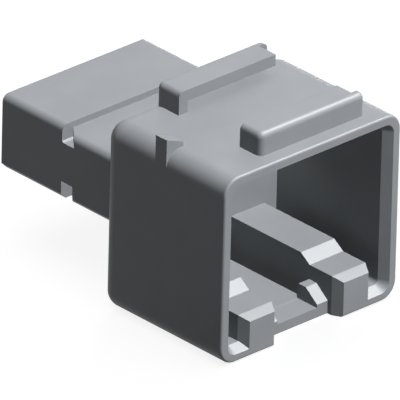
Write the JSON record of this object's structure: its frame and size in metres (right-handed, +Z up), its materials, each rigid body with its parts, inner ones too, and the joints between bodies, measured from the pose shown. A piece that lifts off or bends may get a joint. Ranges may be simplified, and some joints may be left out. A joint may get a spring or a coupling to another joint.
{
  "type": "connector housing with tab contacts",
  "caption": "Hooded in-line connector housing with a rectangular mouth, keyed guide ribs, lock ramps, a roof channel for a mounting clip and tab contacts in its wire end.",
  "frame": {"origin": "under the middle of the whole part, in the plane of the hood's underside", "axes": "-Y out of the mating mouth, +Y along the wires out of the rear, +Z up through the roof with the clip channel, +X to the right seen from the rear"},
  "size_m": [0.02, 0.0292, 0.0194],
  "materials": {
    "housing": "fine matt moulded, neutral grey",
    "contacts": "tin-plated, soft satin"
  },
  "bodies": {
    "root": {"housing": "housing", "contact_1": "contacts", "contact_2": "contacts", "contact_3": "contacts", "contact_4": "contacts"}
  },
  "joints": []
}
